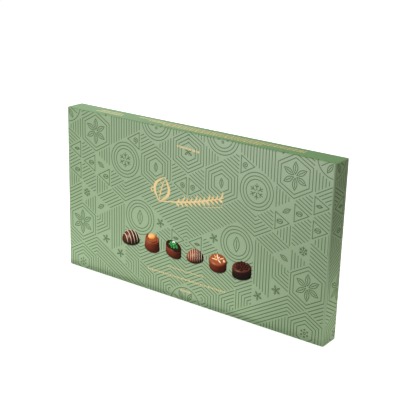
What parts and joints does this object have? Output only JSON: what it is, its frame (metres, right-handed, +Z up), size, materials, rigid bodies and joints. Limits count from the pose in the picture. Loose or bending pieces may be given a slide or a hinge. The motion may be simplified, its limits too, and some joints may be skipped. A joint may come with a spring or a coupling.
{
  "type": "flat box of chocolates",
  "caption": "Slim printed paperboard gift box with a full-depth lift-off lid, formed trays, a corrugated pad and filled chocolates of several kinds.",
  "frame": {"origin": "middle of the long lower edge that the closed box stands on", "axes": "+X along the width, -Y out of the printed front panel, +Z up"},
  "size_m": [0.3354, 0.024, 0.186],
  "materials": {
    "printed_board": "matte",
    "base_board": "matte",
    "brown_pad_paper": "matte",
    "formed_tray": "satin",
    "dark_chocolate": "satin",
    "milk_chocolate": "satin",
    "white_icing": "satin",
    "hazelnut": "satin",
    "green_crumb": "matte",
    "pale_flake": "satin",
    "nib_crust": "matte"
  },
  "bodies": {
    "base": {"base": "base_board"},
    "lid": {"lid": "printed_board"},
    "pad": {"corrugated_pad": "brown_pad_paper"},
    "tray_1": {"tray_1": "formed_tray"},
    "tray_2": {"tray_2": "formed_tray"},
    "dark_ball_1": {"dark_ball_1": "dark_chocolate", "ball_stripes_1": "white_icing"},
    "milk_cup_1": {"milk_cup_1": "milk_chocolate", "hazelnut_half_1": "hazelnut"},
    "dark_oval_1": {"dark_oval_1": "dark_chocolate", "oval_crumbs_1": "green_crumb"},
    "milk_ball_1": {"milk_ball_1": "milk_chocolate", "ball_lines_1": "white_icing"},
    "milk_pillow_1": {"milk_pillow_1": "milk_chocolate", "pillow_flakes_1": "pale_flake"},
    "dark_barrel_1": {"dark_barrel_1": "dark_chocolate", "barrel_crust_1": "nib_crust"},
    "dark_ball_2": {"dark_ball_2": "dark_chocolate", "ball_stripes_2": "white_icing"},
    "milk_cup_2": {"milk_cup_2": "milk_chocolate", "hazelnut_half_2": "hazelnut"},
    "dark_oval_2": {"dark_oval_2": "dark_chocolate", "oval_crumbs_2": "green_crumb"},
    "milk_ball_2": {"milk_ball_2": "milk_chocolate", "ball_lines_2": "white_icing"},
    "milk_pillow_2": {"milk_pillow_2": "milk_chocolate", "pillow_flakes_2": "pale_flake"},
    "dark_barrel_2": {"dark_barrel_2": "dark_chocolate", "barrel_crust_2": "nib_crust"},
    "dark_ball_3": {"dark_ball_3": "dark_chocolate", "ball_stripes_3": "white_icing"},
    "milk_cup_3": {"milk_cup_3": "milk_chocolate", "hazelnut_half_3": "hazelnut"},
    "dark_oval_3": {"dark_oval_3": "dark_chocolate", "oval_crumbs_3": "green_crumb"},
    "milk_ball_3": {"milk_ball_3": "milk_chocolate", "ball_lines_3": "white_icing"},
    "milk_pillow_3": {"milk_pillow_3": "milk_chocolate", "pillow_flakes_3": "pale_flake"},
    "dark_barrel_3": {"dark_barrel_3": "dark_chocolate", "barrel_crust_3": "nib_crust"},
    "dark_ball_4": {"dark_ball_4": "dark_chocolate", "ball_stripes_4": "white_icing"},
    "milk_cup_4": {"milk_cup_4": "milk_chocolate", "hazelnut_half_4": "hazelnut"},
    "dark_oval_4": {"dark_oval_4": "dark_chocolate", "oval_crumbs_4": "green_crumb"},
    "milk_ball_4": {"milk_ball_4": "milk_chocolate", "ball_lines_4": "white_icing"},
    "milk_pillow_4": {"milk_pillow_4": "milk_chocolate", "pillow_flakes_4": "pale_flake"},
    "dark_barrel_4": {"dark_barrel_4": "dark_chocolate", "barrel_crust_4": "nib_crust"}
  },
  "joints": [
    {"name": "lid_lift", "type": "slide", "parent": "base", "child": "lid", "axis": [0, -1, 0], "range_m": [0, 0.2]},
    {"name": "pad_lift", "type": "slide", "parent": "base", "child": "pad", "axis": [0, -1, 0], "range_m": [0, 0.15]},
    {"name": "tray_1_lift", "type": "slide", "parent": "base", "child": "tray_1", "axis": [0, -1, 0], "range_m": [0, 0.04]},
    {"name": "tray_2_lift", "type": "slide", "parent": "base", "child": "tray_2", "axis": [0, -1, 0], "range_m": [0, 0.04]},
    {"name": "dark_ball_1_lift", "type": "slide", "parent": "base", "child": "dark_ball_1", "axis": [0, -1, 0], "range_m": [0, 0.072]},
    {"name": "milk_cup_1_lift", "type": "slide", "parent": "base", "child": "milk_cup_1", "axis": [0, -1, 0], "range_m": [0, 0.072]},
    {"name": "dark_oval_1_lift", "type": "slide", "parent": "base", "child": "dark_oval_1", "axis": [0, -1, 0], "range_m": [0, 0.072]},
    {"name": "milk_ball_1_lift", "type": "slide", "parent": "base", "child": "milk_ball_1", "axis": [0, -1, 0], "range_m": [0, 0.072]},
    {"name": "milk_pillow_1_lift", "type": "slide", "parent": "base", "child": "milk_pillow_1", "axis": [0, -1, 0], "range_m": [0, 0.072]},
    {"name": "dark_barrel_1_lift", "type": "slide", "parent": "base", "child": "dark_barrel_1", "axis": [0, -1, 0], "range_m": [0, 0.072]},
    {"name": "dark_ball_2_lift", "type": "slide", "parent": "base", "child": "dark_ball_2", "axis": [0, -1, 0], "range_m": [0, 0.086]},
    {"name": "milk_cup_2_lift", "type": "slide", "parent": "base", "child": "milk_cup_2", "axis": [0, -1, 0], "range_m": [0, 0.086]},
    {"name": "dark_oval_2_lift", "type": "slide", "parent": "base", "child": "dark_oval_2", "axis": [0, -1, 0], "range_m": [0, 0.086]},
    {"name": "milk_ball_2_lift", "type": "slide", "parent": "base", "child": "milk_ball_2", "axis": [0, -1, 0], "range_m": [0, 0.086]},
    {"name": "milk_pillow_2_lift", "type": "slide", "parent": "base", "child": "milk_pillow_2", "axis": [0, -1, 0], "range_m": [0, 0.086]},
    {"name": "dark_barrel_2_lift", "type": "slide", "parent": "base", "child": "dark_barrel_2", "axis": [0, -1, 0], "range_m": [0, 0.086]},
    {"name": "dark_ball_3_lift", "type": "slide", "parent": "base", "child": "dark_ball_3", "axis": [0, -1, 0], "range_m": [0, 0.1]},
    {"name": "milk_cup_3_lift", "type": "slide", "parent": "base", "child": "milk_cup_3", "axis": [0, -1, 0], "range_m": [0, 0.1]},
    {"name": "dark_oval_3_lift", "type": "slide", "parent": "base", "child": "dark_oval_3", "axis": [0, -1, 0], "range_m": [0, 0.1]},
    {"name": "milk_ball_3_lift", "type": "slide", "parent": "base", "child": "milk_ball_3", "axis": [0, -1, 0], "range_m": [0, 0.1]},
    {"name": "milk_pillow_3_lift", "type": "slide", "parent": "base", "child": "milk_pillow_3", "axis": [0, -1, 0], "range_m": [0, 0.1]},
    {"name": "dark_barrel_3_lift", "type": "slide", "parent": "base", "child": "dark_barrel_3", "axis": [0, -1, 0], "range_m": [0, 0.1]},
    {"name": "dark_ball_4_lift", "type": "slide", "parent": "base", "child": "dark_ball_4", "axis": [0, -1, 0], "range_m": [0, 0.114]},
    {"name": "milk_cup_4_lift", "type": "slide", "parent": "base", "child": "milk_cup_4", "axis": [0, -1, 0], "range_m": [0, 0.114]},
    {"name": "dark_oval_4_lift", "type": "slide", "parent": "base", "child": "dark_oval_4", "axis": [0, -1, 0], "range_m": [0, 0.114]},
    {"name": "milk_ball_4_lift", "type": "slide", "parent": "base", "child": "milk_ball_4", "axis": [0, -1, 0], "range_m": [0, 0.114]},
    {"name": "milk_pillow_4_lift", "type": "slide", "parent": "base", "child": "milk_pillow_4", "axis": [0, -1, 0], "range_m": [0, 0.114]},
    {"name": "dark_barrel_4_lift", "type": "slide", "parent": "base", "child": "dark_barrel_4", "axis": [0, -1, 0], "range_m": [0, 0.114]}
  ],
  "couplings": [
    {"joint": "pad_lift", "follows": "lid_lift", "ratio": 0.75},
    {"joint": "tray_1_lift", "follows": "lid_lift", "ratio": 0.2},
    {"joint": "tray_2_lift", "follows": "lid_lift", "ratio": 0.2},
    {"joint": "dark_ball_1_lift", "follows": "lid_lift", "ratio": 0.36},
    {"joint": "milk_cup_1_lift", "follows": "lid_lift", "ratio": 0.36},
    {"joint": "dark_oval_1_lift", "follows": "lid_lift", "ratio": 0.36},
    {"joint": "milk_ball_1_lift", "follows": "lid_lift", "ratio": 0.36},
    {"joint": "milk_pillow_1_lift", "follows": "lid_lift", "ratio": 0.36},
    {"joint": "dark_barrel_1_lift", "follows": "lid_lift", "ratio": 0.36},
    {"joint": "dark_ball_2_lift", "follows": "lid_lift", "ratio": 0.43},
    {"joint": "milk_cup_2_lift", "follows": "lid_lift", "ratio": 0.43},
    {"joint": "dark_oval_2_lift", "follows": "lid_lift", "ratio": 0.43},
    {"joint": "milk_ball_2_lift", "follows": "lid_lift", "ratio": 0.43},
    {"joint": "milk_pillow_2_lift", "follows": "lid_lift", "ratio": 0.43},
    {"joint": "dark_barrel_2_lift", "follows": "lid_lift", "ratio": 0.43},
    {"joint": "dark_ball_3_lift", "follows": "lid_lift", "ratio": 0.5},
    {"joint": "milk_cup_3_lift", "follows": "lid_lift", "ratio": 0.5},
    {"joint": "dark_oval_3_lift", "follows": "lid_lift", "ratio": 0.5},
    {"joint": "milk_ball_3_lift", "follows": "lid_lift", "ratio": 0.5},
    {"joint": "milk_pillow_3_lift", "follows": "lid_lift", "ratio": 0.5},
    {"joint": "dark_barrel_3_lift", "follows": "lid_lift", "ratio": 0.5},
    {"joint": "dark_ball_4_lift", "follows": "lid_lift", "ratio": 0.57},
    {"joint": "milk_cup_4_lift", "follows": "lid_lift", "ratio": 0.57},
    {"joint": "dark_oval_4_lift", "follows": "lid_lift", "ratio": 0.57},
    {"joint": "milk_ball_4_lift", "follows": "lid_lift", "ratio": 0.57},
    {"joint": "milk_pillow_4_lift", "follows": "lid_lift", "ratio": 0.57},
    {"joint": "dark_barrel_4_lift", "follows": "lid_lift", "ratio": 0.57}
  ]
}
